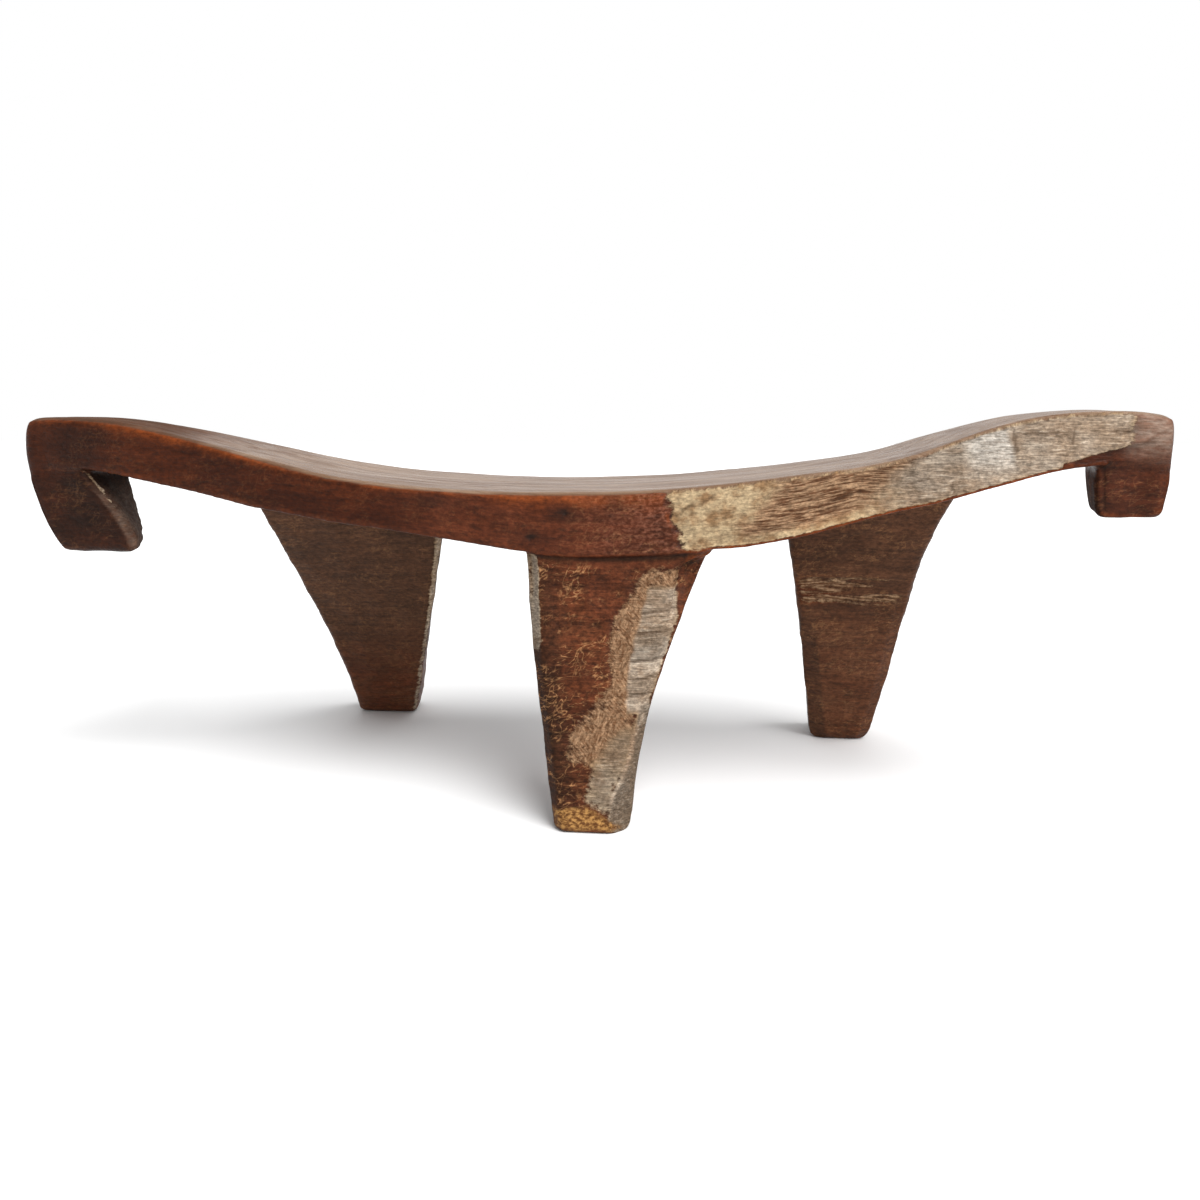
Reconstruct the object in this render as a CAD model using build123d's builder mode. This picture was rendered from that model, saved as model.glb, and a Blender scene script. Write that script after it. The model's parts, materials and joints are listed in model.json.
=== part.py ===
"""A three-legged headrest, carved from one block of wood.

A long plank, curved down like a saddle and widest in the middle, turns down in a short lug at each end.
It stands on one leg under its front edge and two under its back edge, and all three splay outwards.
Each carved member is a solid of its own, and the members meet face to face where the block runs on.

The origin is on the floor, at the middle of the box around the object.
+X runs along the plank, -Y is the side of the single leg, and +Z is up.
"""
from build123d import *
import os

# Driving dimensions, in millimetres.
LENGTH = 552.0          # over both ends
END = LENGTH / 2
SADDLE_HEIGHT = 155.0   # floor to the lowest point of the top
SADDLE_THICKNESS = 28.0  # at that point
RIGHT_TIP = 36.0        # rise of the right end above the saddle's low point
LEFT_TIP = 32.5         # rise of the left end above it
LEFT_LUG_TOE = 121.0    # floor to the underside of the left lug
RIGHT_LUG_TOE = 143.5   # floor to the underside of the right lug
TOP_EDGE = 4.0          # worn rounding of the plank's top edges
END_CORNER = 5.0        # rounding of the plank's four corners, seen from above
TOE_EDGE = 3.5          # rounding of the lugs' lower edges
FOOT_EDGE = 2.5         # rounding of the feet
LEG_BEVEL = 5.0         # flat cut along the front leg's upright corners
REAR_BEVEL = 3.0        # the same on the two rear legs
LUG_CORNER = 4.2        # rounding of the lugs' upright corners

LOW = SADDLE_HEIGHT
UNDER = SADDLE_HEIGHT - SADDLE_THICKNESS

# The plank from the front, as (x, z): its top, and its underside with the flat stretch over the front leg.
TOP_LINE = [
    (-END, LOW + LEFT_TIP), (-231, LOW + LEFT_TIP - 0.5), (-181, LOW + 23.4), (-121, LOW + 8.4), (-61, LOW + 1.2),
    (-1, LOW - 0.5), (59, LOW + 2.2), (120, LOW + 9.2), (159, LOW + 17), (195, LOW + 29.6),
    (229, LOW + RIGHT_TIP), (END, LOW + 34),
]
UNDER_LINE = [
    (-END, UNDER + 36.2), (-226, UNDER + 33.6), (-181, UNDER + 25), (-121, UNDER + 14.2), (-61, UNDER + 6.5),
    (-15, UNDER), (24, UNDER - 1.2), (65, UNDER + 1.3), (119, UNDER + 10.2), (142, UNDER + 17),
    (179, UNDER + 25.5), (219, UNDER + 36.6), (244, UNDER + 40.8), (END, UNDER + 40.6),
]

# The plank from above, as (x, y): a bowed front, and a back that swells out over the two rear legs.
FRONT_EDGE = [(-END, -54), (18.7, -81.5), (END, -60.5)]
BACK_EDGE = [
    (-END, -13.5), (-221, -17.5), (-171, -9), (-126, 14), (-81, 32), (-1, 45), (69, 48.5), (129, 46),
    (164, 31), (199, 4), (239, -13), (END, -17.5),
]

# Sections of the legs and lugs from the floor up: a height, then the four corners in plan, in the order
# front left, front right, back right, back left. The last section of each stands inside the plank.
FRONT_LEG = [
    (0, (-0.2, -107.5), (35.4, -107.5), (34, -76), (1.5, -76)),
    (45, (-7.2, -98), (40.6, -98), (39.5, -62), (-5, -62)),
    (90, (-13, -88.3), (54.2, -88.3), (52, -48), (-11, -48)),
    (128, (-16.3, -80.3), (71.2, -80), (68, -31.5), (-14.5, -31.5)),
    (136, (-16.8, -79), (75.7, -79), (72, -29), (-15, -29)),
]
REAR_LEFT_LEG = [
    (0, (-156.2, 78.9), (-116, 78.9), (-121.5, 109), (-154.5, 109)),
    (45, (-155.6, 46.5), (-100.8, 46.5), (-107.5, 78.5), (-154, 77.5)),
    (90, (-161.8, 14), (-85.6, 17.5), (-95.2, 51.5), (-156, 42)),
    (138, (-166, -31), (-71.5, -11.5), (-80, 27), (-156, -3)),
    (154, (-168.5, -42), (-66.5, -20), (-76.5, 19), (-158, -14)),
]
REAR_RIGHT_LEG = [
    (0, (130.8, 50.2), (164.2, 50.2), (162.8, 81.5), (133, 81.5)),
    (45, (124.2, 31.5), (171.6, 31.5), (168.5, 64.5), (127.5, 66.5)),
    (95, (116, 11), (178.2, 8.5), (173, 42.5), (120.5, 50.5)),
    (145, (106.2, -7.5), (190.5, -18), (184, 13), (111.5, 40)),
    (164, (102, -14), (201, -29), (192, 1), (108, 36)),
]
LEFT_LUG = [
    (LEFT_LUG_TOE, (-259.8, -57.5), (-218.2, -58.6), (-234.5, -24.5), (-259.5, -23.5)),
    (130, (-265.8, -57), (-219.4, -59.2), (-236, -22), (-265.5, -20.5)),
    (147, (-273.2, -55.5), (-231.8, -58.8), (-241, -18.5), (-272.5, -16)),
    (170, (-END, -54), (-248, -57.8), (-246.5, -15.5), (-END, -13.5)),
]
RIGHT_LUG = [
    (RIGHT_LUG_TOE, (245.2, -60), (274, -59), (273, -20), (256, -19)),
    (155, (243.6, -61.8), (275.6, -60), (274.6, -18), (254, -17.5)),
    (174, (242, -63.8), (END - 0.2, -60.6), (END - 0.2, -17.6), (252, -16.5)),
]

REACH = 400.0           # size of the construction solids, well clear of the object


def cross_section(blunt, amount, height, *corners):
    """A level four-cornered section, its corners blunted by a fillet or a chamfer."""
    with BuildSketch(Plane.XY.offset(height)) as section:
        with BuildLine():
            Polyline(*corners, close=True)
        make_face()
        blunt(section.vertices(), amount)
    return section.sketch


# The curved plank: its plan carried upwards and cut to its outline from the front.
with BuildPart() as saddle:
    with BuildSketch(Plane.XY) as plan:
        with BuildLine():
            front = ThreePointArc(*FRONT_EDGE)
            back = Spline(*BACK_EDGE)
            Line(front @ 0, back @ 0)
            Line(front @ 1, back @ 1)
        make_face()
        fillet(plan.vertices(), END_CORNER)
    extrude(amount=REACH)
    with BuildSketch(Plane.XZ.offset(-REACH)):
        with BuildLine():
            top = Spline(*TOP_LINE)
            underside = Spline(*UNDER_LINE)
            Line(top @ 0, underside @ 0)
            Line(top @ 1, underside @ 1)
        make_face()
    extrude(amount=2 * REACH, mode=Mode.INTERSECT)
    top_face = saddle.faces().filter_by(lambda face: face.normal_at().Z > 0.5).sort_by(SortBy.AREA)[-1]
    fillet(top_face.edges(), TOP_EDGE)
saddle.part.label = "saddle"

# The space below the plank's underside, which cuts the legs and lugs off where the plank begins.
with BuildPart() as space_below:
    with BuildSketch(Plane.XZ.offset(-REACH)):
        with BuildLine():
            Spline(*UNDER_LINE)
            Polyline((END, UNDER_LINE[-1][1]), (REACH, UNDER_LINE[-1][1]), (REACH, -REACH))
            Polyline((REACH, -REACH), (-REACH, -REACH), (-REACH, UNDER_LINE[0][1]), (-END, UNDER_LINE[0][1]))
        make_face()
    extrude(amount=2 * REACH)

# The single leg, under the front edge.
with BuildPart() as front_leg:
    loft(sections=[cross_section(chamfer, LEG_BEVEL, *level) for level in FRONT_LEG])
    add(space_below.part, mode=Mode.INTERSECT)
    fillet(front_leg.faces().sort_by(Axis.Z)[0].edges(), FOOT_EDGE)
front_leg.part.label = "front_leg"

# The two legs under the back edge.
with BuildPart() as rear_left_leg:
    loft(sections=[cross_section(chamfer, REAR_BEVEL, *level) for level in REAR_LEFT_LEG])
    add(space_below.part, mode=Mode.INTERSECT)
    fillet(rear_left_leg.faces().sort_by(Axis.Z)[0].edges(), FOOT_EDGE)
rear_left_leg.part.label = "rear_left_leg"

with BuildPart() as rear_right_leg:
    loft(sections=[cross_section(chamfer, REAR_BEVEL, *level) for level in REAR_RIGHT_LEG])
    add(space_below.part, mode=Mode.INTERSECT)
    fillet(rear_right_leg.faces().sort_by(Axis.Z)[0].edges(), FOOT_EDGE)
rear_right_leg.part.label = "rear_right_leg"

# The lugs that hang from the two ends: the left one is longer, and its toe turns inwards.
with BuildPart() as left_end_lug:
    loft(sections=[cross_section(fillet, LUG_CORNER, *level) for level in LEFT_LUG])
    add(space_below.part, mode=Mode.INTERSECT)
    fillet(left_end_lug.faces().sort_by(Axis.Z)[0].edges(), TOE_EDGE)
left_end_lug.part.label = "left_end_lug"

with BuildPart() as right_end_lug:
    loft(sections=[cross_section(fillet, LUG_CORNER, *level) for level in RIGHT_LUG])
    add(space_below.part, mode=Mode.INTERSECT)
    fillet(right_end_lug.faces().sort_by(Axis.Z)[0].edges(), TOE_EDGE)
right_end_lug.part.label = "right_end_lug"

os.makedirs("parts", exist_ok=True)
for member in (saddle, front_leg, rear_left_leg, rear_right_leg, left_end_lug, right_end_lug):
    export_step(member.part, f"parts/{member.part.label}.step")
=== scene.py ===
"""A three-legged headrest carved from one block of dark wood, worn, chipped and bleached with age.

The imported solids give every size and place. Their skins are grown together into one fine mesh, the marks of
carving and wear are worked into that mesh, and it is cut apart again into one closed piece for each member.
All lengths in the carving part of the script are in millimetres.
"""
import json
import math

import bmesh
import bpy
import numpy as np
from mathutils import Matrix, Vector
from mathutils.bvhtree import BVHTree


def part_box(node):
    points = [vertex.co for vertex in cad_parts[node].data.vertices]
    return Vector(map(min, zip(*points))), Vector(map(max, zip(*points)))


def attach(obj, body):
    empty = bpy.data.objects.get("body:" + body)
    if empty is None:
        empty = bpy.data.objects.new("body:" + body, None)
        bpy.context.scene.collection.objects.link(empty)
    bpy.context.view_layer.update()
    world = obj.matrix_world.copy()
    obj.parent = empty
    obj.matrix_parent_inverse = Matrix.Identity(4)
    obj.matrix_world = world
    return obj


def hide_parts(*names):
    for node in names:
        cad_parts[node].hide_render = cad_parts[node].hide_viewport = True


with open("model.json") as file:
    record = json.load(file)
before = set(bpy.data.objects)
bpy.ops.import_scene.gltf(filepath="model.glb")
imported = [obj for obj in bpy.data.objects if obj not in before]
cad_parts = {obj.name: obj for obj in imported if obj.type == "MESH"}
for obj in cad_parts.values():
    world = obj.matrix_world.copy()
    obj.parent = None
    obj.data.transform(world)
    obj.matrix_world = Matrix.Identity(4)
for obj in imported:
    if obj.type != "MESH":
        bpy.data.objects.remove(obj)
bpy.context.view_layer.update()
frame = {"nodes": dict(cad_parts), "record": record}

MM = 0.001
CELL = 1.0                 # edge of the small quads that the skin is made of
MEMBERS = ("saddle", "front_leg", "rear_left_leg", "rear_right_leg", "left_end_lug", "right_end_lug")
HANGING = MEMBERS[1:]      # the members below the plank's underside
LEGS_WITHIN = 215.0        # along X the legs are nearer to the middle than this, and the lugs further out


# ---------------------------------------------------------------- helpers

def box_mm(node):
    """Lowest and highest corner of a solid, in millimetres."""
    low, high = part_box(node)
    return np.array(low) / MM, np.array(high) / MM


def smoothstep(low, high, value):
    """0 below low, 1 above high, and an even ramp between."""
    t = np.clip((value - low) / (high - low), 0.0, 1.0)
    return t * t * (3.0 - 2.0 * t)


def hashed(cell, seed):
    """A repeatable random number from -1 to 1 for each whole-numbered cell."""
    h = cell[:, 0] * 73856093 ^ cell[:, 1] * 19349663 ^ cell[:, 2] * 83492791 ^ seed * 2654435761
    h = (h ^ (h >> 13)) * 1274126177 & 0x7FFFFFFF
    h = (h ^ (h >> 16)) * 1911520717 & 0x7FFFFFFF
    return (h ^ (h >> 15)) % 65536 / 32767.5 - 1.0


def read_off(value, pairs):
    """The second number of the (first, second) pairs, read off between them at each value of the first."""
    first, second = zip(*pairs)
    return np.interp(value, first, second)


def noise(points, size, seed):
    """Smooth values from -1 to 1 that change over about size millimetres, one size or one per axis."""
    q = points / np.asarray(size, float)
    cell = np.floor(q).astype(np.int64)
    t = q - cell
    t = t * t * (3.0 - 2.0 * t)
    total = np.zeros(len(points))
    for corner in np.ndindex(2, 2, 2):
        weight = np.prod(np.where(np.array(corner) == 1, t, 1.0 - t), axis=1)
        total += weight * hashed(cell + np.array(corner), seed)
    return total


def smoothed(values, edges, steps, keep=None):
    """Values evened out over the mesh; keep holds a vertex still where it is 1."""
    degree = np.bincount(edges.ravel(), minlength=len(values))[:, None]
    out = values.copy()
    for _ in range(steps):
        total = np.zeros_like(out)
        for axis in range(out.shape[1]):
            column = out[:, axis]
            total[:, axis] = np.bincount(edges[:, 0], column[edges[:, 1]], len(out))
            total[:, axis] += np.bincount(edges[:, 1], column[edges[:, 0]], len(out))
        mean = total / degree
        out = mean if keep is None else out * keep[:, None] + mean * (1.0 - keep[:, None])
    return out


def vertex_normals(points, quads):
    """Outward unit normals of a mesh of quads."""
    across = points[quads[:, 2]] - points[quads[:, 0]]
    along = points[quads[:, 3]] - points[quads[:, 1]]
    face = np.cross(across, along)
    normal = np.zeros_like(points)
    for corner in range(4):
        for axis in range(3):
            normal[:, axis] += np.bincount(quads[:, corner], face[:, axis], len(points))
    return normal / np.maximum(np.linalg.norm(normal, axis=1, keepdims=True), 1e-12)


# ---------------------------------------------------------------- the skin of the whole block

def grown_together(cell):
    """The skins of all the solids, grown together: vertices in millimetres, quads, edges."""
    places, polygons, first = [], [], 0
    for node in MEMBERS:
        mesh = frame["nodes"][node].data
        count = len(mesh.vertices)
        co = np.empty(count * 3, np.float32)
        mesh.vertices.foreach_get("co", co)
        places.append(co.reshape(-1, 3))
        mesh.calc_loop_triangles()
        corners = np.empty(len(mesh.loop_triangles) * 3, np.int32)
        mesh.loop_triangles.foreach_get("vertices", corners)
        polygons.append(corners.reshape(-1, 3) + first)
        first += count
    raw = bpy.data.meshes.new("raw")
    raw.from_pydata(np.concatenate(places).tolist(), [], np.concatenate(polygons).tolist())
    holder = bpy.data.objects.new("raw", raw)
    bpy.context.scene.collection.objects.link(holder)
    remesh = holder.modifiers.new("skin", "REMESH")
    remesh.mode = "VOXEL"
    remesh.voxel_size = cell * MM
    bpy.context.view_layer.update()
    skin = holder.evaluated_get(bpy.context.evaluated_depsgraph_get()).to_mesh()
    co = np.empty(len(skin.vertices) * 3, np.float32)
    skin.vertices.foreach_get("co", co)
    quads = np.empty(len(skin.loops), np.int32)
    skin.loops.foreach_get("vertex_index", quads)
    edges = np.empty(len(skin.edges) * 2, np.int32)
    skin.edges.foreach_get("vertices", edges)
    holder.to_mesh_clear()
    bpy.data.objects.remove(holder)
    bpy.data.meshes.remove(raw)
    return co.reshape(-1, 3).astype(float) / MM, quads.reshape(-1, 4), edges.reshape(-1, 2)


def underside_line():
    """The plank's underside as (x, z), felt from below along its middle."""
    low, high = box_mm("saddle")
    plank = frame["nodes"]["saddle"]
    tree = BVHTree.FromObject(plank, bpy.context.evaluated_depsgraph_get())
    stations = np.linspace(low[0] + 1.0, high[0] - 1.0, 240)
    middle = (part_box("left_end_lug")[0].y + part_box("left_end_lug")[1].y) / 2
    heights = []
    for x in stations:
        hit = tree.ray_cast(Vector((x * MM, middle, 0.0)), Vector((0.0, 0.0, 1.0)))[0]
        heights.append(hit.z / MM)
    return stations, np.array(heights)


# ---------------------------------------------------------------- carving and wear

def seeds_on(points, spacing, seed):
    """Points of the skin about one spacing apart, one in each cell of a loose grid."""
    cell = np.floor(points / np.asarray(spacing, float)).astype(np.int64)
    order = np.random.default_rng(seed).permutation(len(points))
    _, first = np.unique(cell[order], axis=0, return_index=True)
    return points[order[first]]


def adze_cuts(points, spacing, depth, seed):
    """How far each point is cut back by overlapping shallow scoops, whose edges meet in low ridges."""
    scale = np.asarray(spacing, float)
    centres = seeds_on(points, scale, seed) / scale
    reach = 0.75
    rng = np.random.default_rng(seed + 1)
    deep = depth * rng.uniform(0.5, 1.0, len(centres))
    q = points / scale
    cut = np.empty(len(q))
    block = 20000
    for start in range(0, len(q), block):
        part = q[start:start + block]
        square = (part ** 2).sum(1)[:, None] - 2.0 * part @ centres.T + (centres ** 2).sum(1)[None, :]
        cut[start:start + block] = np.max(deep * (1.0 - square / reach ** 2), axis=1)
    return np.clip(cut, 0.0, None)


def between(value, low, high, soft):
    """1 from low to high, falling to 0 over about soft on either side."""
    return smoothstep(low - soft, low + soft, value) * (1.0 - smoothstep(high - soft, high + soft, value))


def bend_of(points, normals, steps):
    """How far each point stands out from its surroundings, in millimetres; negative in a hollow."""
    return ((points - smoothed(points, edges, steps)) * normals).sum(1)


def groove(x, z, start, end, width):
    """1 along a straight mark on a front face, from start to end as (x, z), falling off over its width."""
    start, end = np.array(start, float), np.array(end, float)
    run = end - start
    t = np.clip(((x - start[0]) * run[0] + (z - start[1]) * run[1]) / (run @ run), 0.0, 1.0)
    away = np.hypot(x - start[0] - t * run[0], z - start[1] - t * run[1])
    return (1.0 - smoothstep(0.0, width, away)) * (1.0 - 0.6 * smoothstep(0.6, 1.0, np.abs(2.0 * t - 1.0)))


# ---------------------------------------------------------------- places of the marks on the front faces

# Edges on the front leg as (z, x) points, from low to high: the bleached band down its right half, the
# lighter patch low down, the flats near its right corner, the pared corner, and the grime down its left half.
BAND_LEFT = ((30.0, 6.0), (34.0, 4.5), (47.0, 9.0), (56.0, 14.5), (66.0, 25.0), (79.0, 24.5),
             (95.0, 25.5), (110.0, 33.5), (124.0, 43.0))
BAND_RIGHT = ((8.0, 26.0), (24.0, 30.5), (36.0, 35.5), (55.0, 36.0), (58.0, 43.0), (77.0, 48.5),
              (99.0, 55.0), (112.0, 60.0), (122.0, 58.0))
WHITE_LEFT = ((9.0, 24.0), (15.0, 14.0), (29.0, 17.0), (43.0, 25.0), (50.0, 32.0))
FLAT_LEFT = ((57.0, 32.7), (70.0, 33.0), (82.0, 34.5), (97.0, 38.0), (106.0, 41.0))
PARED_FROM = ((7.0, 25.5), (17.0, 27.5), (24.0, 31.0), (36.0, 35.5), (45.0, 36.5), (57.0, 42.0),
              (64.0, 52.0))
GRIME_RIGHT = ((0.0, 4.0), (128.0, -12.0))
FRONT_LEG_FACE = ((0.0, -107.2), (45.0, -97.6), (90.0, -88.0), (128.0, -80.0))      # (z, y)
FLAT_CRACKS = (57.0, 63.0, 71.0, 78.5, 91.0, 100.0, 108.0)                          # z, from flat to flat

# The right rear leg's front face, as (z, x) and (z, y) points.
POST_LEFT = ((0.0, 130.8), (45.0, 124.2), (95.0, 116.0))
POST_RIGHT = ((0.0, 164.2), (45.0, 171.6), (95.0, 178.2))
POST_FACE = ((0.0, 50.2), (45.0, 31.5), (95.0, 9.7))

# The bleached part of the plank: its two ends, the flat cuts along it, and how light each of those is.
PALE_START, PALE_END = 52.0, 257.5
FACET_EDGES = (136.0, 157.0, 179.0, 190.5, 203.0, 216.0, 230.5, 257.0)
FACET_LIGHT = ((128.0, 0.0), (140.0, -0.6), (156.0, -0.6), (160.0, -0.65), (176.0, -0.55), (181.0, 0.0),
               (199.0, 0.3), (203.0, 0.3), (205.0, 0.05), (229.0, 0.2), (232.0, 0.35), (257.0, 0.3))

# Cracks, tool marks, pits and knots on the plank's front: (x, z) of start and end, width, depth.
MARKS = (
    ((204.0, 181.5), (228.0, 181.0), 1.3, 0.9),
    ((208.0, 187.0), (217.0, 186.0), 0.6, 0.4),
    ((246.0, 182.5), (260.0, 182.0), 1.0, 0.7),
    ((203.0, 185.0), (204.5, 172.0), 0.9, 0.4),
    ((230.0, 187.0), (230.5, 176.0), 0.9, 0.35),
    ((178.0, 160.0), (179.5, 153.5), 0.7, 0.4),
    ((56.0, 146.0), (62.0, 149.5), 1.5, 1.2),
    ((-14.5, 133.5), (-11.0, 134.5), 2.2, 0.9),
    ((1.0, 145.0), (3.5, 145.0), 2.4, 0.8),
    ((-113.0, 161.0), (-110.5, 161.0), 1.6, 1.0),
    ((66.0, 150.0), (72.0, 154.0), 0.8, 0.5),
    ((150.0, 158.0), (170.0, 162.0), 0.7, 0.5),
    ((120.0, 150.0), (139.0, 156.5), 0.7, 0.6),
    ((86.0, 137.0), (112.0, 142.0), 0.7, 0.6),
)
# Dark knots there: x, z, half width, half height.
KNOTS = ((-12.5, 134.0, 7.0, 3.5), (2.5, 145.0, 8.0, 5.0), (26.0, 150.0, 6.0, 4.0),
         (-60.0, 150.0, 9.0, 3.0), (-111.5, 161.0, 4.0, 3.0))
# The left lug's light line is a painted highlight, where its inner edge catches the light.
LUG_HIGHLIGHT = ((-245.0, 161.5), (-220.5, 132.0))      # the light line on the left lug, start and end


# ---------------------------------------------------------------- what each point of the skin is part of

points, quads, edges = grown_together(CELL)
points = smoothed(points, edges, 2)
under_x, under_z = underside_line()
lift = np.interp(points[:, 0], under_x, under_z)
below = lift - points[:, 2]
print("skin", len(points), "vertices", len(quads), "quads")

normals = vertex_normals(points, quads)
x, y, z = points.T
on_leg = smoothstep(2.0, 8.0, below) * (np.abs(x) < LEGS_WITHIN)
on_lug = smoothstep(2.0, 8.0, below) * (np.abs(x) >= LEGS_WITHIN)
on_plank = 1.0 - on_leg - on_lug
front = smoothstep(0.5, 0.75, -normals[:, 1])
up = smoothstep(0.5, 0.8, normals[:, 2])
on_front_leg = on_leg * (y < -30.0) * between(x, -20.0, 75.0, 2.0)
on_right_leg = on_leg * (x > 100.0)
on_left_leg = on_leg * (x < -60.0)

# The inner corners, where legs and lugs grow out of the plank, are softened. The ends and rear feet are
# rubbed round.
corner = smoothed(smoothstep(0.12, 0.3, -bend_of(points, normals, 6))[:, None], edges, 3)[:, 0]
crisp = np.where(np.abs(x) < 200.0, smoothstep(-70.0, -76.0, y), 0.75 * (x < 0.0))
rubbed = 0.95 * smoothstep(260.0, 272.0, np.abs(x)) * smoothstep(177.0, 187.0, z)
rubbed += 0.9 * smoothstep(9.0, 3.0, z) * (y > 0.0)
soft = np.maximum(np.clip(corner * 1.4, 0.0, 1.0) * (1.0 - crisp), rubbed)
points = smoothed(points, edges, int(14 / CELL), keep=1.0 - soft)

# The grain runs along the block, and follows the plank's rise part of the way towards its right end.
rise = np.interp(np.clip(x, -140.0, 135.0), under_x, under_z) - under_z.min()
grain = np.stack([x, y, z - on_plank * 0.75 * rise], axis=1)
ragged = noise(points, 9.0, 31) + 0.6 * noise(points, 3.5, 32)

# ---------------------------------------------------------------- where the wood is bleached

# The plank's front, from just past the middle nearly to the right end, and down to the step over the lug.
step_line = 170.0 + (x - 233.0) * 0.27
pale_from = x - PALE_START - 3.0 * ragged + 0.12 * (z - 140.0)
pale_to = x - PALE_END - 2.0 * ragged - 0.15 * (z - 182.0)
plank_pale = on_plank * front * smoothstep(-1.5, 1.5, pale_from)
plank_pale *= 1.0 - smoothstep(-3.0, 3.0, pale_to)
plank_pale *= smoothstep(-0.7, 0.7, z - np.where(x > 226.0, step_line + 0.5 * ragged, 0.0))
plank_pale *= smoothstep(0.4, 1.8, -below)

# The front leg: a band down its right half, a lighter patch low down, flats along its corner, an ochre toe.
wavy = x + 1.2 * ragged
leg_front = on_front_leg * front
left_of_band = 1.0 - smoothstep(-0.7, 0.7, wavy - read_off(z, BAND_RIGHT))
leg_pale = leg_front * smoothstep(-1.0, 1.0, wavy - read_off(z, BAND_LEFT)) * left_of_band
leg_pale *= between(z + 2.0 * ragged, 31.0, 118.0, 2.5)
leg_white = leg_front * smoothstep(-0.8, 0.8, wavy - read_off(z, WHITE_LEFT)) * left_of_band
leg_white *= between(z, 8.0, 48.0, 1.5)
flat_left = read_off(z, FLAT_LEFT)
leg_flats = leg_front * smoothstep(-0.6, 0.6, wavy - flat_left)
leg_flats *= 1.0 - smoothstep(-0.6, 0.6, wavy - read_off(z, BAND_RIGHT))
leg_flats *= between(z + ragged, 57.0, 108.0, 1.0)
toe_top = 12.0 - 0.12 * np.abs(x - 14.0) + 1.2 * ragged - 0.45 * np.clip(x - 17.0, 0.0, None)
toe = leg_front * (1.0 - smoothstep(-1.0, 1.0, z - toe_top))

# The right rear leg: a band of torn fibres across its front.
ledge = on_right_leg * front * between(z + 0.6 * ragged, 88.5, 103.0, 1.2) * between(x, 116.0, 172.0, 4.0)

# ---------------------------------------------------------------- how deep each point is cut

# Old paring and adze work: long cuts on the plank, short ones on the legs and lugs.
depth = on_plank * (1.0 - up) * (1.0 - plank_pale) * adze_cuts(points, (30.0, 30.0, 36.0), 0.7, 11)
depth += plank_pale * adze_cuts(points, (21.0, 40.0, 26.0), 1.2, 15)
depth += on_plank * up * adze_cuts(points, (50.0, 26.0, 60.0), 0.4, 12)
depth += on_leg * adze_cuts(points, (15.0, 15.0, 20.0), 0.85, 13)
depth += on_lug * adze_cuts(points, (14.0, 14.0, 14.0), 0.5, 14)

# Flat cuts side by side along the bleached part, each a little deeper towards its right side.
across = x + 0.25 * (z - 175.0) + 1.2 * ragged
facet_share = np.interp(across, FACET_EDGES, np.arange(float(len(FACET_EDGES)))) % 1.0
facet_light = read_off(across, FACET_LIGHT)
faceted = plank_pale * (across > FACET_EDGES[0]) * (across < FACET_EDGES[-1])
depth += faceted * (0.75 * facet_share + 0.25 * facet_light)
lilac = plank_pale * smoothstep(178.0, 188.0, across) * (1.0 - smoothstep(201.5, 204.0, across))
lilac *= smoothstep(160.0, 174.0, z)

# Weathered wood has sunk between its fibres.
fibre = noise(grain, (26.0, 6.0, 1.9), 41) + 0.7 * noise(grain, (15.0, 5.0, 1.2), 42)
split = smoothstep(0.35, 0.75, noise(grain, (20.0, 8.0, 2.6), 43))
tufts = noise(points, (3.5, 3.5, 2.2), 44)
brown_zone = plank_pale * between(x - 0.9 * (z - 150.0) + 5.0 * ragged, 92.0, 140.0, 6.0)
brown_zone *= smoothstep(2.5, 7.0, -below + ragged)
depth += plank_pale * (0.75 + 0.28 * fibre + 0.5 * split + 0.35 * brown_zone)
depth += leg_pale * (0.55 + 0.1 * tufts + 0.1 * fibre) + leg_white * (0.25 + 0.12 * tufts)
depth += ledge * (1.3 * smoothstep(88.0, 103.0, z) + 0.3 * fibre)
sound = on_plank * front * (1.0 - plank_pale) + 0.6 * on_lug + 0.5 * on_front_leg
depth += 0.1 * fibre * (sound + on_right_leg + on_left_leg)

# The flats down the right of the front leg's band, parted by cracks across it.
flat_height = z - 0.12 * (x - 40.0)
which = np.searchsorted(FLAT_CRACKS, flat_height)
tilt = hashed(np.stack([which, which * 7 + 3, which * 0], axis=1), 5)
from_cracks = [flat_height + 0.5 * ragged - level for level in FLAT_CRACKS[1:-1]]
cracks = leg_flats * sum(np.exp(-(away / 0.6) ** 2) for away in from_cracks)
depth += leg_flats * (0.5 + 0.35 * tilt) + 0.7 * cracks

marks = np.zeros(len(points))
for start, end, width, deep in MARKS:
    mark = groove(x + 0.7 * ragged, z + 0.7 * ragged, start, end, width) * front * on_plank
    depth += mark * deep
    marks = np.maximum(marks, mark)

# The front leg stands a little behind the plank's front. The left lug's inner side is rough from the adze.
under_plank = between(x, -18.0, 76.0, 2.0) * (y < -60.0) * front * smoothstep(0.4, 1.8, below)
depth += 1.7 * under_plank * (1.0 - smoothstep(14.0, 45.0, below))
pocket = on_lug * (x < -200.0) * smoothstep(0.15, 0.4, normals[:, 0])
leaning = points @ np.array(((0.8, 0.0, 0.6), (0.0, 1.0, 0.0), (-0.6, 0.0, 0.8)))
depth += pocket * (0.35 * np.abs(noise(leaning, (2.2, 9.0, 12.0), 61)) + 0.3 * tufts)

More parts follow.
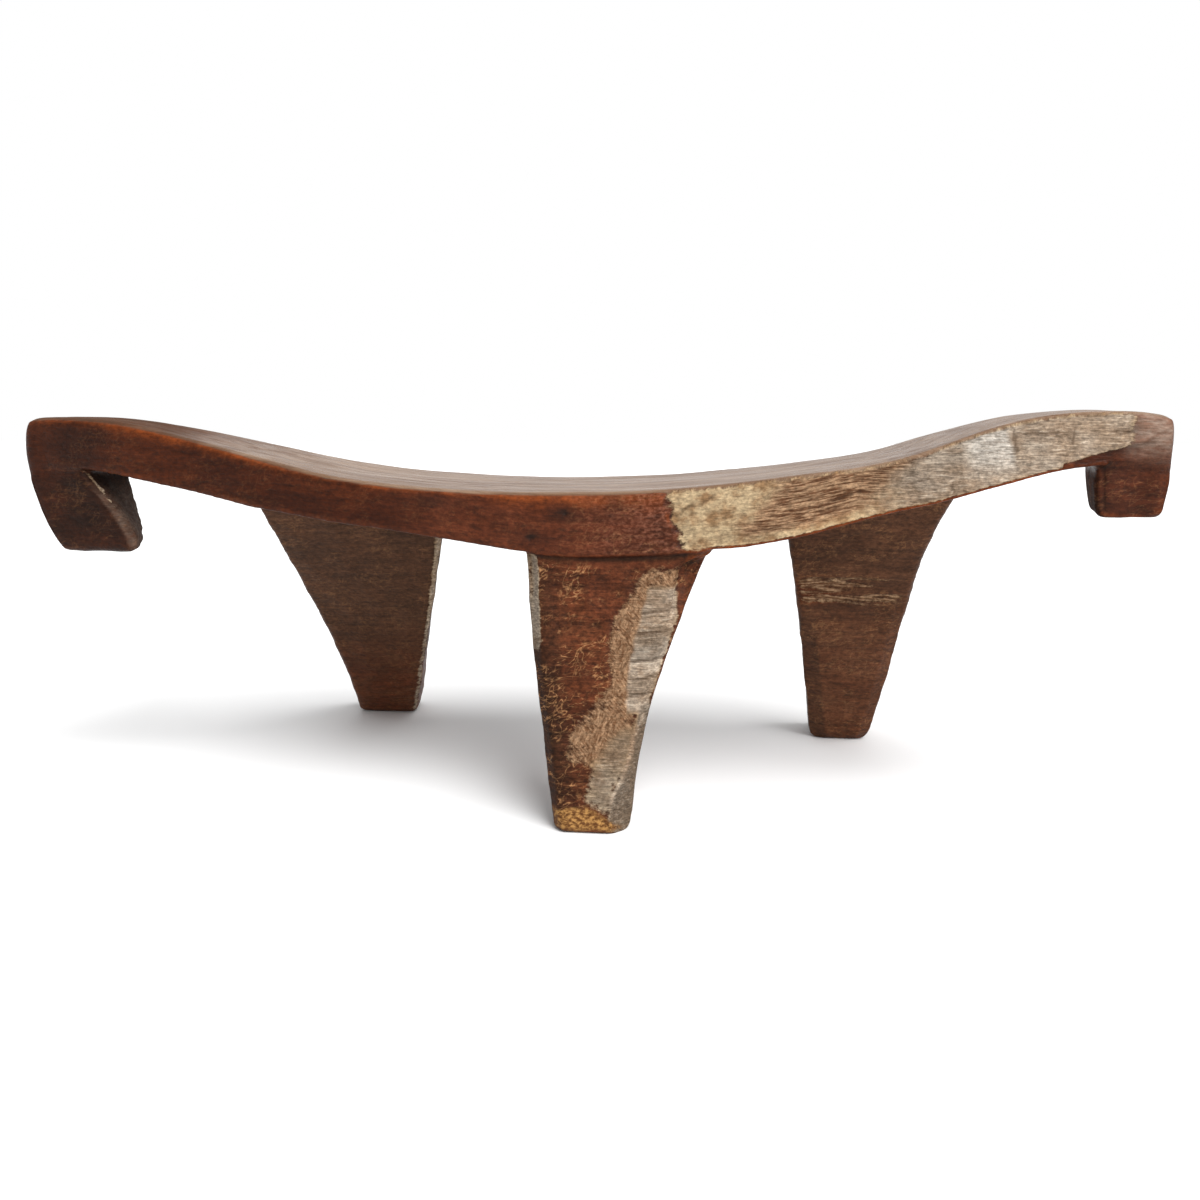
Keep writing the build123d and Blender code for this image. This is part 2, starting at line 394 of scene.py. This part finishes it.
# Small dents all over, from use.
nicks = np.zeros(len(points))
for spacing, radius, deep, seed in ((34.0, 2.6, 0.45, 51), (21.0, 1.4, 0.3, 52)):
    place = points / spacing
    cell = np.floor(place).astype(np.int64)
    centre = np.stack([hashed(cell, seed + 10 * axis) for axis in range(3)], axis=1) * 0.35 + 0.5 + cell
    away = np.linalg.norm((place - centre) * spacing * (0.45, 1.0, 1.0), axis=1)
    nicks += deep * (1.0 - smoothstep(0.0, radius, away))
depth += nicks * (1.0 - 0.7 * up)

# The right end's block is set back under the bleached face.
set_back = (1.0 - smoothstep(262.0, 272.0, x)) * smoothstep(228.0, 236.0, x) * front
set_back *= 1.0 - smoothstep(-0.6, 0.6, z - step_line)
depth += 1.8 * set_back * (on_plank + on_lug)

# The front leg's right corner is pared off low down.
pared_from = read_off(z, PARED_FROM)
slope = np.array((0.72, -0.69, 0.0))
past_corner = (x - pared_from) * slope[0] + (y - read_off(z, FRONT_LEG_FACE)) * slope[1]
pared = on_front_leg * np.clip(past_corner, 0.0, None)

# The lower half of the right rear leg has a flat cut down each side of its front.
post_face = read_off(z, POST_FACE)
left_cut = read_off(z, POST_LEFT) + 9.5 - x
right_cut = x - read_off(z, POST_RIGHT) + 7.0
post_cut = np.maximum(left_cut, right_cut) * smoothstep(90.0, 60.0, z) * on_right_leg
trimmed = np.clip(post_face + 0.45 * post_cut - y, 0.0, 12.0) * (post_cut > 0.0) * (y < post_face + 8.0)

# The skin swells a little, most at the left end, and sways as hand work does. The soles stay flat.
sway = 0.55 * noise(points, 62.0, 21) + 0.3 * noise(points, 27.0, 22)
hold = smoothstep(1.0, 5.0, z)
grown = 0.6 * (1.0 - up) + 0.2 * on_lug
grown += 1.8 * np.exp(-((z - 170.0) / 15.0) ** 2) * smoothstep(-264.0, -275.0, x)
points = points + normals * ((grown + sway - depth) * hold)[:, None] - pared[:, None] * slope
points[:, 1] += trimmed
points = smoothed(points, edges, 1, keep=np.full(len(points), 0.6))

# ---------------------------------------------------------------- what each point of the wood looks like

normals = vertex_normals(points, quads)
bend = bend_of(points, normals, int(round(4 / CELL)))
arris = smoothstep(0.10, 0.32, bend)
hollow = smoothstep(0.05, 0.30, -bend)

# The bleached places again, with soft borders except along the plank's lower edge.
plank_soft = smoothed(plank_pale[:, None], edges, int(6 / CELL))[:, 0]
plank_soft += (plank_pale - plank_soft) * smoothstep(66.0, 80.0, x) * smoothstep(9.0, 6.0, -below)
fade = smoothstep(-6.0, 6.0, pale_from - 1.0)
lower_edge = plank_pale * between(x, 100.0, 158.0, 8.0) * (1.0 - smoothstep(4.0, 9.0, -below))
leg_soft = smoothed(np.stack([leg_pale, leg_white, leg_flats, ledge], axis=1), edges, int(7 / CELL))
tan, white, flat, ridge = leg_soft.T
flat_side = smoothstep(-1.5, 1.0, wavy - flat_left) * between(z, 55.0, 112.0, 2.0)

# The narrow faces at the legs' corners.
on_post = smoothstep(0.5, 2.0, below) * (np.abs(x) < LEGS_WITHIN)
left_bevel = on_post * (x < 20.0) * (x > -25.0) * (y < -45.0) * smoothstep(0.25, 0.45, -normals[:, 0])
right_bevel = on_front_leg * smoothstep(0.35, 0.6, normals[:, 0]) * (z < 58.0) * (y < -80.0)
rear_bevel = on_post * (x < -60.0) * smoothstep(0.3, 0.5, normals[:, 0])
rear_bevel *= smoothstep(0.0, 0.2, -normals[:, 1])
bevels = np.stack([left_bevel, right_bevel, rear_bevel], axis=1)
left_bevel, right_bevel, rear_bevel = smoothed(bevels, edges, 2).T

# Light lines, one a painted highlight on the left lug's edge, a painted shadow line at the seam under the
# plank, dark knots, ash on the right end, and dust along the plank's front.
bright_line = on_front_leg * np.exp(-((x - pared_from) / 0.7) ** 2) * (y < -88.0)
bright_line *= between(z, 14.0, 55.0, 2.0)
# A painted highlight along the left lug's inner edge.
lug_highlight = groove(x, z, *LUG_HIGHLIGHT, 1.0) * (normals[:, 1] < -0.2) * (x < -200.0)
# A painted shadow line just under the plank's front edge, over the front leg.
seam_shadow = under_plank * (1.0 - smoothstep(1.6, 4.0, below))
spots = sum(np.exp(-((x - at) / wide) ** 2 - ((z - high) / tall) ** 2) for at, high, wide, tall in KNOTS)
knots = spots * front * on_plank
right_end = on_plank * front * smoothstep(250.0, 262.0, x) * smoothstep(164.0, 186.0, z)
ash = smoothed(right_end[:, None], edges, int(4 / CELL))[:, 0]
dust = on_plank * (1.0 - up) * (1.0 - plank_pale) * smoothstep(-6.0, 50.0, x + 6.0 * ragged)
dust *= (x < 80.0) * (y < 0.0) * smoothstep(0.5, -1.0, below)

# Red wood rubbed through on the arrises, high on the plank's front, and in a line along its lower edge.
high_front = on_plank * (1.0 - plank_pale) * smoothstep(17.5, 27.0, z - lift + 1.5 * ragged) * (1.0 - up)
under_step = between(x, 224.0, 248.0, 2.0) * (z < 178.0)
rubbed_arris = 0.8 * arris * (1.0 - 0.8 * on_leg) * (1.0 - 0.5 * plank_pale) * (1.0 - 0.6 * under_step)
rubbed_arris *= np.where(x > 55.0, 1.0, 0.4 + 0.6 * smoothstep(5.0, 15.0, z - lift))
red_line = on_plank * (x > 60.0) * smoothstep(228.0, 218.0, x) * (y < 0.0) * smoothstep(1.8, 0.6, -below)

# Darkening on each member, from the left end to the right: dirt in places, and painted shade where shade falls.
left_side = 1.0 - smoothstep(2.0, 14.0, x - read_off(z, GRIME_RIGHT) + 3.0 * ragged)
dirt_and_shade = 1.1 * on_lug * (x < 0.0) + 0.9 * on_lug * smoothstep(0.4, 0.7, normals[:, 0]) * (x < 0.0)
dirt_and_shade += 0.6 * on_plank * (1.0 - smoothstep(-262.0, -205.0, x)) * (1.0 - up)
# Painted shade under the plank: the left rear leg is darker higher up.
dirt_and_shade += 0.9 * on_left_leg * smoothstep(20.0, 80.0, z)
# The front leg's left half is darker; painted shade low on its left corner face, and a painted shadow line
# under the plank's front edge.
dirt_and_shade += 0.85 * on_front_leg * left_side + 0.6 * left_bevel * smoothstep(90.0, 60.0, z) + 0.9 * seam_shadow
# Painted shade under the plank: the right rear leg is darker higher up. Its left flat cut is darker low down.
dirt_and_shade += 0.5 * on_right_leg * smoothstep(70.0, 120.0, z)
dirt_and_shade += 0.8 * on_right_leg * smoothstep(-1.0, 1.0, left_cut) * smoothstep(90.0, 70.0, z)
# The right lug is a little darker, with painted shade on its left side, which is turned from the light.
dirt_and_shade += 0.45 * on_lug * (x > 0.0) + 1.0 * on_lug * smoothstep(0.2, 0.5, -normals[:, 0]) * (x > 0.0)
# Painted shade in the inner corners and hollows and on faces turned down.
dirt_and_shade += 0.9 * corner * (1.0 - crisp) + 0.7 * hollow + 0.35 * smoothstep(0.4, 0.9, -normals[:, 2])

bleach_and_painted_light = plank_soft * fade * (1.1 - 0.12 * split)
bleach_and_painted_light += 0.8 * tan + 0.85 * white + 0.95 * flat + 0.75 * ridge * smoothstep(-0.5, 0.4, fibre)
# Pale too: a painted reflection high on the front leg's left corner face, painted light on the left rear leg's
# right corner face, which is turned to the light, and the painted highlight on the left lug's edge.
bleach_and_painted_light += left_bevel * smoothstep(74.0, 92.0, z) + 0.9 * right_bevel
bleach_and_painted_light += (0.65 + 0.35 * smoothstep(50.0, 90.0, z)) * rear_bevel + 0.9 * bright_line + 0.85 * lug_highlight

grey = plank_pale * smoothstep(128.0, 160.0, x + 6.0 * ragged) + flat + flat_side * tan + 0.8 * white
# Grey too on the corner faces and the light lines, among them the painted reflection, the painted light and the
# painted highlight.
grey += left_bevel + right_bevel + rear_bevel + bright_line + lug_highlight

tone = 0.68 + 0.3 * facet_light * plank_pale + 0.28 * lower_edge
tone += 0.3 * tilt * flat - 0.06 * tan - 0.06 * flat - 0.34 * white * (1.0 - flat)
# The corner faces' paleness: lighter for the painted light on the left rear leg, darker for the painted
# reflection on the front leg's left corner face.
tone += 0.3 * rear_bevel + 0.4 * bright_line - 0.45 * left_bevel - 0.6 * right_bevel

red = 0.45 * on_front_leg + 0.25 * on_right_leg * (1.0 - smoothstep(50.0, 100.0, z))
red += 0.65 * on_left_leg * (1.0 - smoothstep(30.0, 75.0, z))
red += 0.7 * on_plank * between(x, -70.0, 60.0, 25.0) + 0.6 * on_lug * (x > 0.0)

worn = rubbed_arris + 0.9 * red_line + 0.85 * high_front + 0.8 * ridge * smoothstep(150.0, 118.0, x)

dull = on_lug * smoothstep(0.2, 0.5, np.abs(normals[:, 0])) + 0.6 * pocket
dull += 0.9 * up * on_plank * smoothstep(-170.0, -225.0, x)

scratched = 0.08 + 0.85 * on_front_leg + 0.3 * on_right_leg + 0.15 * on_left_leg + 0.35 * dust
scratched += 0.04 * on_lug * (x < 0.0) + 0.12 * on_lug * (x > 0.0)

looks = {
    "bleach_and_painted_light": np.clip(bleach_and_painted_light, 0.0, 1.1),
    "grey": np.clip(grey, 0.0, 1.0),
    "tone": np.clip(tone, 0.0, 1.0),
    "brown": np.clip(brown_zone + ridge, 0.0, 1.0),
    "tan": np.clip(1.3 * tan * (1.0 - flat_side) * (1.0 - 0.8 * white), 0.0, 1.0),
    "lilac": lilac,
    "ash": np.clip(ash + 0.24 * pocket * smoothstep(158.0, 146.0, z), 0.0, 1.0),
    "dust": dust,
    "ochre": toe * smoothstep(0.4, 3.2, z + 0.8 * ragged),
    "worn": np.clip(worn, 0.0, 1.0),
    "dirt_and_shade": np.clip(dirt_and_shade, 0.0, 1.0),
    "red": np.clip(red, 0.0, 1.0),
    "top": up * on_plank * (0.3 + 0.7 * smoothstep(-215.0, -130.0, x)),
    "mark": np.clip(marks + 0.3 * split * plank_pale + cracks + 0.6 * knots, 0.0, 1.0),
    "dull": np.clip(dull, 0.0, 1.0),
    "scratched": np.clip(scratched, 0.0, 1.0) * (1.0 - up),
}

# ---------------------------------------------------------------- back into one closed piece for each member

def owner_of_quads():
    """For each quad the index of its member: the plank, or the hanging member it is nearest to along X."""
    deep = np.min(below[quads], axis=1) > 1.3
    x = points[quads].mean(axis=1)[:, 0]
    gaps = []
    for node in HANGING:
        low, high = box_mm(node)
        gaps.append(np.maximum(low[0] - x, x - high[0]))
    nearest = np.argmin(np.array(gaps), axis=0) + 1
    return np.where(deep, nearest, 0)


def closed_piece(name, own_quads, normals, level):
    """One member as a closed object: its share of the skin, a fan over each cut, its looks and grain height."""
    used, renumbered = np.unique(own_quads, return_inverse=True)
    faces = renumbered.reshape(-1, 4)
    co = points[used]
    side = np.concatenate([faces[:, [i, (i + 1) % 4]] for i in range(4)])
    key = np.sort(side, axis=1)
    _, index, count = np.unique(key, axis=0, return_index=True, return_counts=True)
    rim = side[index[count == 1]]
    following = {int(b): int(a) for a, b in rim}
    loops = []
    while following:
        start, here = next(iter(following.items()))
        loop = [start]
        del following[start]
        while here != start:
            loop.append(here)
            here = following.pop(here)
        loops.append(loop)
    extra, fans = [], []
    for loop in loops:
        centre = len(co) + len(extra)
        extra.append(co[loop].mean(axis=0))
        fans += [(loop[i], loop[(i + 1) % len(loop)], centre) for i in range(len(loop))]
    mesh = bpy.data.meshes.new(name)
    everything = np.concatenate([co, np.array(extra).reshape(-1, 3)]) * MM
    mesh.from_pydata(everything.tolist(), [], faces.tolist() + fans)
    mesh.polygons.foreach_set("use_smooth", [True] * len(mesh.polygons))
    piece = bpy.data.objects.new(name, mesh)
    bpy.context.scene.collection.objects.link(piece)
    own_normals = np.concatenate([normals[used], np.tile((0.0, 0.0, 1.0), (len(extra), 1))])
    mesh.normals_split_custom_set_from_vertices(own_normals.tolist())
    for look, amount in {**looks, "level": level * MM}.items():
        layer = mesh.attributes.new(look, "FLOAT", "POINT")
        amounts = np.concatenate([amount[used], np.zeros(len(extra))])
        layer.data.foreach_set("value", amounts.astype(np.float32))
    return piece


owners = owner_of_quads()
slots = {entry["node"]: entry["material_slot"] for entry in frame["record"]["subparts"]}
pieces = {}
for number, node in enumerate(MEMBERS):
    piece = closed_piece("carved_" + node, quads[owners == number], normals, z if number else grain[:, 2])
    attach(piece, "root")
    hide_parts(node)
    pieces[node] = piece
    print(node, len(piece.data.polygons))


# ---------------------------------------------------------------- materials

WORN_RED = (0.165, 0.035, 0.006)
INNER_RED = (0.105, 0.0265, 0.0105)
SCRATCH = (0.33, 0.165, 0.07)
DUST = (0.20, 0.088, 0.056)
# PIT and PALE_PIT: painted shade in cracks, grooves and pits, and the dark of the knots.
PIT = (0.012, 0.006, 0.004)
PALE_PIT = (0.05, 0.026, 0.014)


class Wood:
    """A node material for old wood, built up step by step, with the patterns that its parts share."""

    def __init__(self, name):
        self.material = bpy.data.materials.new(name)
        self.material.use_nodes = True
        self.tree = self.material.node_tree
        self.shader = self.tree.nodes["Principled BSDF"]
        own = self.add("ShaderNodeSeparateXYZ", {0: self.add("ShaderNodeTexCoord").outputs["Object"]})
        along_grain = {0: own.outputs[0], 1: own.outputs[1], 2: self.look("level")}
        self.place = self.add("ShaderNodeCombineXYZ", along_grain).outputs[0]
        self.streaks = self.noise((60.0, 5.0, 3.2), 4.0, 0.6)
        self.fine = self.noise((9.0, 1.6, 0.8), 3.0, 0.6, shift=3.0)
        self.blotch = self.noise((42.0, 30.0, 22.0), 3.0, 0.55, shift=7.0)
        self.small = self.noise((9.0, 9.0, 7.0), 3.0, 0.6, shift=1.0)
        self.speck = self.noise((1.6, 1.6, 1.2), 2.0, 0.6, shift=5.0)
        self.fuzz = self.noise((2.6, 3.0, 1.6), 3.0, 0.65, shift=9.0)
        self.flake = self.noise((7.0, 6.0, 3.0), 4.0, 0.65, shift=19.0)

    def add(self, kind, inputs=(), **settings):
        """A new node with its inputs linked or set."""
        made = self.tree.nodes.new(kind)
        for key, value in settings.items():
            setattr(made, key, value)
        for key, value in dict(inputs).items():
            self.feed(made.inputs[key], value)
        return made

    def feed(self, socket, value):
        """Links a socket to another one, or sets it to a number or colour."""
        if isinstance(value, bpy.types.NodeSocket):
            self.tree.links.new(value, socket)
        elif isinstance(value, tuple) and len(value) == 3 and socket.type == "RGBA":
            socket.default_value = (*value, 1.0)
        else:
            socket.default_value = value

    def look(self, name):
        """One of the numbers stored on the mesh."""
        return self.add("ShaderNodeAttribute", attribute_name=name).outputs["Fac"]

    def math(self, operation, a, b=0.0):
        return self.add("ShaderNodeMath", {0: a, 1: b}, operation=operation).outputs[0]

    def plus(self, a, b):
        return self.math("ADD", a, b)

    def minus(self, a, b):
        return self.math("SUBTRACT", a, b)

    def product(self, a, b):
        return self.math("MULTIPLY", a, b)

    def ramp(self, value, low, high, to_low=0.0, to_high=1.0):
        """value, from low..high to to_low..to_high, with soft ends."""
        inputs = {"Value": value, "From Min": low, "From Max": high, "To Min": to_low, "To Max": to_high}
        return self.add("ShaderNodeMapRange", inputs, interpolation_type="SMOOTHSTEP").outputs["Result"]

    def noise(self, size, detail=3.0, rough=0.55, turn=(0.0, 0.0, 0.0), shift=0.0):
        """Noise from 0 to 1 whose features are about size (x, y, z) millimetres before they are turned."""
        scale = tuple(1.0 / (side * MM) for side in size)
        place = self.place
        if any(turn):
            place = self.add("ShaderNodeMapping", {"Vector": place, "Rotation": turn}).outputs[0]
        moves = {"Vector": place, "Scale": scale, "Location": (shift, shift * 0.7, shift * 1.3)}
        moved = self.add("ShaderNodeMapping", moves).outputs[0]
        inputs = {"Vector": moved, "Scale": 1.0, "Detail": detail, "Roughness": rough}
        return self.add("ShaderNodeTexNoise", inputs).outputs["Fac"]

    def mix(self, amount, under, over):
        """The colour over laid on the colour under, by amount."""
        made = self.add("ShaderNodeMix", data_type="RGBA")
        self.feed(made.inputs["Factor"], amount)
        self.feed(made.inputs[6], under)
        self.feed(made.inputs[7], over)
        return made.outputs[2]

    def times(self, colour, factor):
        """A colour made lighter or darker by a factor that varies."""
        grey = self.add("ShaderNodeCombineColor", {0: factor, 1: factor, 2: factor}).outputs[0]
        made = self.add("ShaderNodeMix", data_type="RGBA", blend_type="MULTIPLY")
        self.feed(made.inputs["Factor"], 1.0)
        self.feed(made.inputs[6], colour)
        self.feed(made.inputs[7], grey)
        return made.outputs[2]


def scratches(w):
    """Fine light scratches: the lines where slow noise crosses a level, kept only in patches."""
    lines = []
    for size, turn, shift in (((12.0, 9.0, 4.0), (0.0, 0.6, 0.0), 11.0),
                              ((6.0, 9.0, 13.0), (0.0, -0.4, 0.2), 17.0),
                              ((18.0, 9.0, 3.0), (0.0, 0.1, 0.0), 29.0)):
        wander = w.noise(size, 2.0, 0.5, turn=turn, shift=shift)
        lines.append(w.ramp(w.math("ABSOLUTE", w.minus(wander, 0.5)), 0.0, 0.022, 1.0, 0.0))
    scratch = w.math("MAXIMUM", w.math("MAXIMUM", lines[0], lines[1]), lines[2])
    scratch = w.product(scratch, w.ramp(w.noise((17.0, 15.0, 13.0), 3.0, shift=23.0), 0.42, 0.58))
    scratch = w.product(scratch, w.ramp(w.fuzz, 0.35, 0.6, 0.35, 1.0))
    return w.product(scratch, w.look("scratched"))


def seat_colour(w):
    """The plank's top, rubbed pale brown, with long dark bands of grain."""
    rings = w.noise((160.0, 9.0, 5.0), 3.0, 0.5, shift=31.0)
    seat = w.mix(w.ramp(rings, 0.35, 0.62), (0.245, 0.155, 0.098), (0.165, 0.092, 0.052))
    seat = w.mix(w.ramp(w.streaks, 0.52, 0.7, 0.0, 0.6), seat, (0.10, 0.047, 0.024))
    return w.times(seat, w.ramp(w.fine, 0.3, 0.7, 0.86, 1.12))


def dark_colour(w, deep, lit, dirt_and_shade_colour, scratch):
    """Sound dark wood in blotches, with red and worn places, dirt and painted shade, dust, scratches, pits dark
    with painted shade, and a pale top.
    """
    dark = w.mix(w.ramp(w.blotch, 0.35, 0.68), deep, lit)
    dark = w.mix(w.product(w.look("red"), w.ramp(w.small, 0.3, 0.7, 0.35, 1.0)), dark, INNER_RED)
    dark = w.mix(w.product(w.look("worn"), w.ramp(w.small, 0.25, 0.65, 0.4, 0.95)), dark, WORN_RED)
    # Dirt, and painted shade in corners, hollows, under the plank and on sides turned from the light.
    dark = w.mix(w.product(w.look("dirt_and_shade"), w.ramp(w.blotch, 0.25, 0.7, 0.95, 0.6)), dark, dirt_and_shade_colour)
    dark = w.mix(w.ramp(w.flake, 0.52, 0.72, 0.0, 0.55), dark, dirt_and_shade_colour)
    dark = w.mix(w.product(w.look("dust"), w.ramp(w.fuzz, 0.35, 0.75, 0.0, 0.42)), dark, DUST)
    dark = w.mix(w.product(scratch, 0.7), dark, SCRATCH)
    contrast = w.plus(w.product(w.look("scratched"), 0.45), 0.5)
    for pattern, least, most in ((w.fuzz, -0.5, 0.62), (w.streaks, -0.34, 0.4), (w.fine, -0.2, 0.25)):
        swing = w.product(w.ramp(pattern, 0.27, 0.73, least, most), contrast)
        dark = w.times(dark, w.plus(swing, 1.0))
    # Near black in the cracks, grooves and pits: painted shade there, with the real dark of the knots.
    dark = w.mix(w.product(w.look("mark"), 0.8), dark, PIT)
    return w.mix(w.look("top"), dark, seat_colour(w))


def pale_colour(w):
    """Bleached wood: cream at first, then brown between its fibres, furry tan, and dry grey."""
    left_hair = w.noise((0.8, 1.6, 3.0), 2.0, 0.6, turn=(0.0, 0.7, 0.0), shift=13.0)
    right_hair = w.noise((1.0, 1.6, 3.6), 2.0, 0.6, turn=(0.0, -0.35, 0.0), shift=14.0)
    hair = w.mix(w.ramp(w.small, 0.45, 0.55), left_hair, right_hair)

    cream = w.mix(w.ramp(w.small, 0.38, 0.68), (0.46, 0.34, 0.20), (0.25, 0.145, 0.07))
    brown = w.mix(w.ramp(w.fine, 0.36, 0.62), (0.13, 0.053, 0.023), (0.31, 0.19, 0.108))
    tan = w.mix(w.ramp(hair, 0.34, 0.66), (0.14, 0.067, 0.032), (0.35, 0.21, 0.118))
    tan = w.mix(w.ramp(w.flake, 0.45, 0.7, 0.0, 0.6), tan, (0.17, 0.085, 0.042))
    grey = w.mix(w.ramp(w.blotch, 0.4, 0.6), (0.29, 0.205, 0.138), (0.37, 0.295, 0.225))
    grey = w.mix(w.ramp(w.fine, 0.52, 0.72, 0.0, 0.45), grey, (0.48, 0.42, 0.34))
    grey = w.mix(w.product(w.ramp(w.small, 0.5, 0.75), 0.6), grey, (0.19, 0.118, 0.07))
    grey = w.mix(w.product(w.look("lilac"), w.ramp(w.fine, 0.3, 0.6, 0.55, 0.9)), grey, (0.45, 0.41, 0.36))

    pale = w.mix(w.look("grey"), cream, grey)
    pale = w.mix(w.look("brown"), pale, brown)
    pale = w.mix(w.look("tan"), pale, tan)
    fibrous = w.math("MAXIMUM", w.look("grey"), w.look("brown"))
    pale = w.times(pale, w.plus(w.product(w.ramp(w.fine, 0.3, 0.7, -0.33, 0.24), fibrous), 1.0))
    pale = w.times(pale, w.ramp(w.fuzz, 0.28, 0.72, 0.78, 1.22))
    pale = w.times(pale, w.plus(w.product(w.look("tone"), 0.8), 0.42))
    pale = w.times(pale, w.ramp(w.speck, 0.25, 0.75, 0.74, 1.24))
    # Dark in the cracks and splits of the bleached wood: painted shade there, with the dark of the knots.
    return w.mix(w.product(w.look("mark"), 0.7), pale, PALE_PIT)


def ashen_colour(w):
    """The grey bloom on the plank's right end."""
    bloom = w.mix(w.ramp(w.flake, 0.35, 0.65), (0.30, 0.215, 0.165), (0.19, 0.105, 0.07))
    return w.times(bloom, w.ramp(w.fine, 0.3, 0.7, 0.75, 1.25))


def bleached_share(w):
    """How far the pale wood and the painted light on the corner faces show, from 0 to 1, with a ragged edge."""
    bleach_and_painted_light = w.look("bleach_and_painted_light")
    spread = w.product(w.minus(w.plus(w.small, w.fuzz), 1.0), 1.1)
    return w.product(w.ramp(w.plus(bleach_and_painted_light, spread), 0.28, 0.72), w.ramp(bleach_and_painted_light, 0.02, 0.15))


def relief(w, edge, scratch):
    """The finest grain, as the height of a bump, deeper where the wood is bleached."""
    height = w.product(w.plus(w.product(w.fine, 1.5), w.streaks), w.ramp(edge, 0.0, 1.0, 0.3, 1.0))
    height = w.plus(height, w.product(w.speck, 0.25))
    height = w.plus(height, w.product(w.fuzz, 0.6))
    return w.minus(height, w.product(scratch, 0.4))


def old_wood(name, deep, lit, dirt_and_shade_colour, gloss, shine):
    """Dark polished wood with bleached, worn and dirty places, and with painted light and shade."""
    w = Wood(name)
    scratch = scratches(w)
    edge = bleached_share(w)
    colour = w.mix(edge, dark_colour(w, deep, lit, dirt_and_shade_colour, scratch), pale_colour(w))
    colour = w.mix(w.product(w.look("ash"), w.minus(0.95, w.product(edge, 0.75))), colour, ashen_colour(w))
    golden = w.mix(w.ramp(w.fuzz, 0.36, 0.6), (0.42, 0.22, 0.07), (0.10, 0.038, 0.011))
    colour = w.mix(w.product(w.look("ochre"), w.ramp(w.speck, 0.2, 0.5, 0.6, 1.0)), colour, golden)
    w.feed(w.shader.inputs["Base Color"], colour)

    rough = w.ramp(w.streaks, 0.3, 0.7, gloss - 0.06, gloss + 0.1)
    rough = w.plus(rough, w.product(edge, 0.3))
    rough = w.minus(rough, w.product(w.look("top"), 0.12))
    rough = w.plus(rough, w.product(w.look("dull"), 0.5))
    w.feed(w.shader.inputs["Roughness"], rough)
    w.shader.inputs["Specular IOR Level"].default_value = shine

    grain_bump = {"Strength": 0.85, "Distance": 0.8 * MM, "Height": relief(w, edge, scratch)}
    w.feed(w.shader.inputs["Normal"], w.add("ShaderNodeBump", grain_bump).outputs[0])
    return w.material


# deep colour, lit colour, colour of dirt and painted shade, roughness, specular level
FINISHES = {
    "polished_wood": ((0.030, 0.0068, 0.0022), (0.058, 0.0128, 0.0035), (0.0125, 0.0055, 0.0032),
                      0.42, 0.11),
    "worn_wood": ((0.045, 0.0135, 0.005), (0.075, 0.024, 0.009), (0.022, 0.0095, 0.0046), 0.5, 0.09),
    "dark_wood": ((0.070, 0.027, 0.012), (0.102, 0.042, 0.020), (0.053, 0.025, 0.0135), 0.46, 0.09),
}
materials = {slot: old_wood(slot, *finish) for slot, finish in FINISHES.items()}
for node, piece in pieces.items():
    piece.data.materials.append(materials[slots[node]])

# ---------------------------------------------------------------- floor, light and camera

HALF_FLOOR = 6.0           # metres, like every length from here on
CORNERS = ((-1.0, -1.0), (1.0, -1.0), (1.0, 1.0), (-1.0, 1.0))
floor_mesh = bpy.data.meshes.new("floor")
floor_mesh.from_pydata([(a * HALF_FLOOR, b * HALF_FLOOR, 0.0) for a, b in CORNERS], [], [(0, 1, 2, 3)])
floor = bpy.data.objects.new("floor", floor_mesh)
bpy.context.scene.collection.objects.link(floor)
paper = bpy.data.materials.new("paper")
paper.use_nodes = True
paper_shader = paper.node_tree.nodes["Principled BSDF"]
paper_shader.inputs["Base Color"].default_value = (0.9, 0.9, 0.9, 1.0)
paper_shader.inputs["Roughness"].default_value = 0.9
floor_mesh.materials.append(paper)

world = bpy.data.worlds.new("studio")
bpy.context.scene.world = world
world.use_nodes = True
sky = world.node_tree
path = sky.nodes.new("ShaderNodeLightPath")
level = sky.nodes.new("ShaderNodeMapRange")        # white where it is seen, softer where it lights
level.inputs["To Min"].default_value, level.inputs["To Max"].default_value = 0.5, 1.0
sky.links.new(path.outputs["Is Camera Ray"], level.inputs["Value"])
sky.links.new(level.outputs["Result"], sky.nodes["Background"].inputs["Strength"])
sky.nodes["Background"].inputs["Color"].default_value = (1.0, 1.0, 1.0, 1.0)
bpy.context.scene.view_settings.view_transform = "Standard"


def area_light(name, place, target, size, power):
    """A square soft light that shines from place towards target."""
    lamp = bpy.data.lights.new(name, "AREA")
    lamp.size, lamp.energy = size, power
    holder = bpy.data.objects.new(name, lamp)
    holder.location = place
    holder.rotation_euler = (Vector(target) - Vector(place)).to_track_quat("-Z", "Y").to_euler()
    bpy.context.scene.collection.objects.link(holder)


SUN_RAYS = (-0.95, 1.0, -1.6)     # the way they run: from the right, in front and above
sun = bpy.data.lights.new("key", "SUN")
sun.energy, sun.angle = 3.9, math.radians(45.0)
key = bpy.data.objects.new("key", sun)
key.rotation_euler = Vector(SUN_RAYS).to_track_quat("-Z", "Y").to_euler()
bpy.context.scene.collection.objects.link(key)
area_light("back", (0.0, 2.4, 1.5), (0.0, 0.0, 0.15), 3.2, 16.0)

CAMERA_PLACE = (0.0695, -0.5592, 0.1909)
CAMERA_TURN = 6.0          # degrees round from straight ahead, towards the right end
CAMERA_TILT = 10.151       # degrees below level
view = bpy.data.cameras.new("view")
view.lens = 31.5
view.clip_start = 0.01
camera = bpy.data.objects.new("view", view)
camera.location = CAMERA_PLACE
camera.rotation_euler = (math.radians(90.0 - CAMERA_TILT), 0.0, math.radians(CAMERA_TURN))
bpy.context.scene.collection.objects.link(camera)
bpy.context.scene.camera = camera
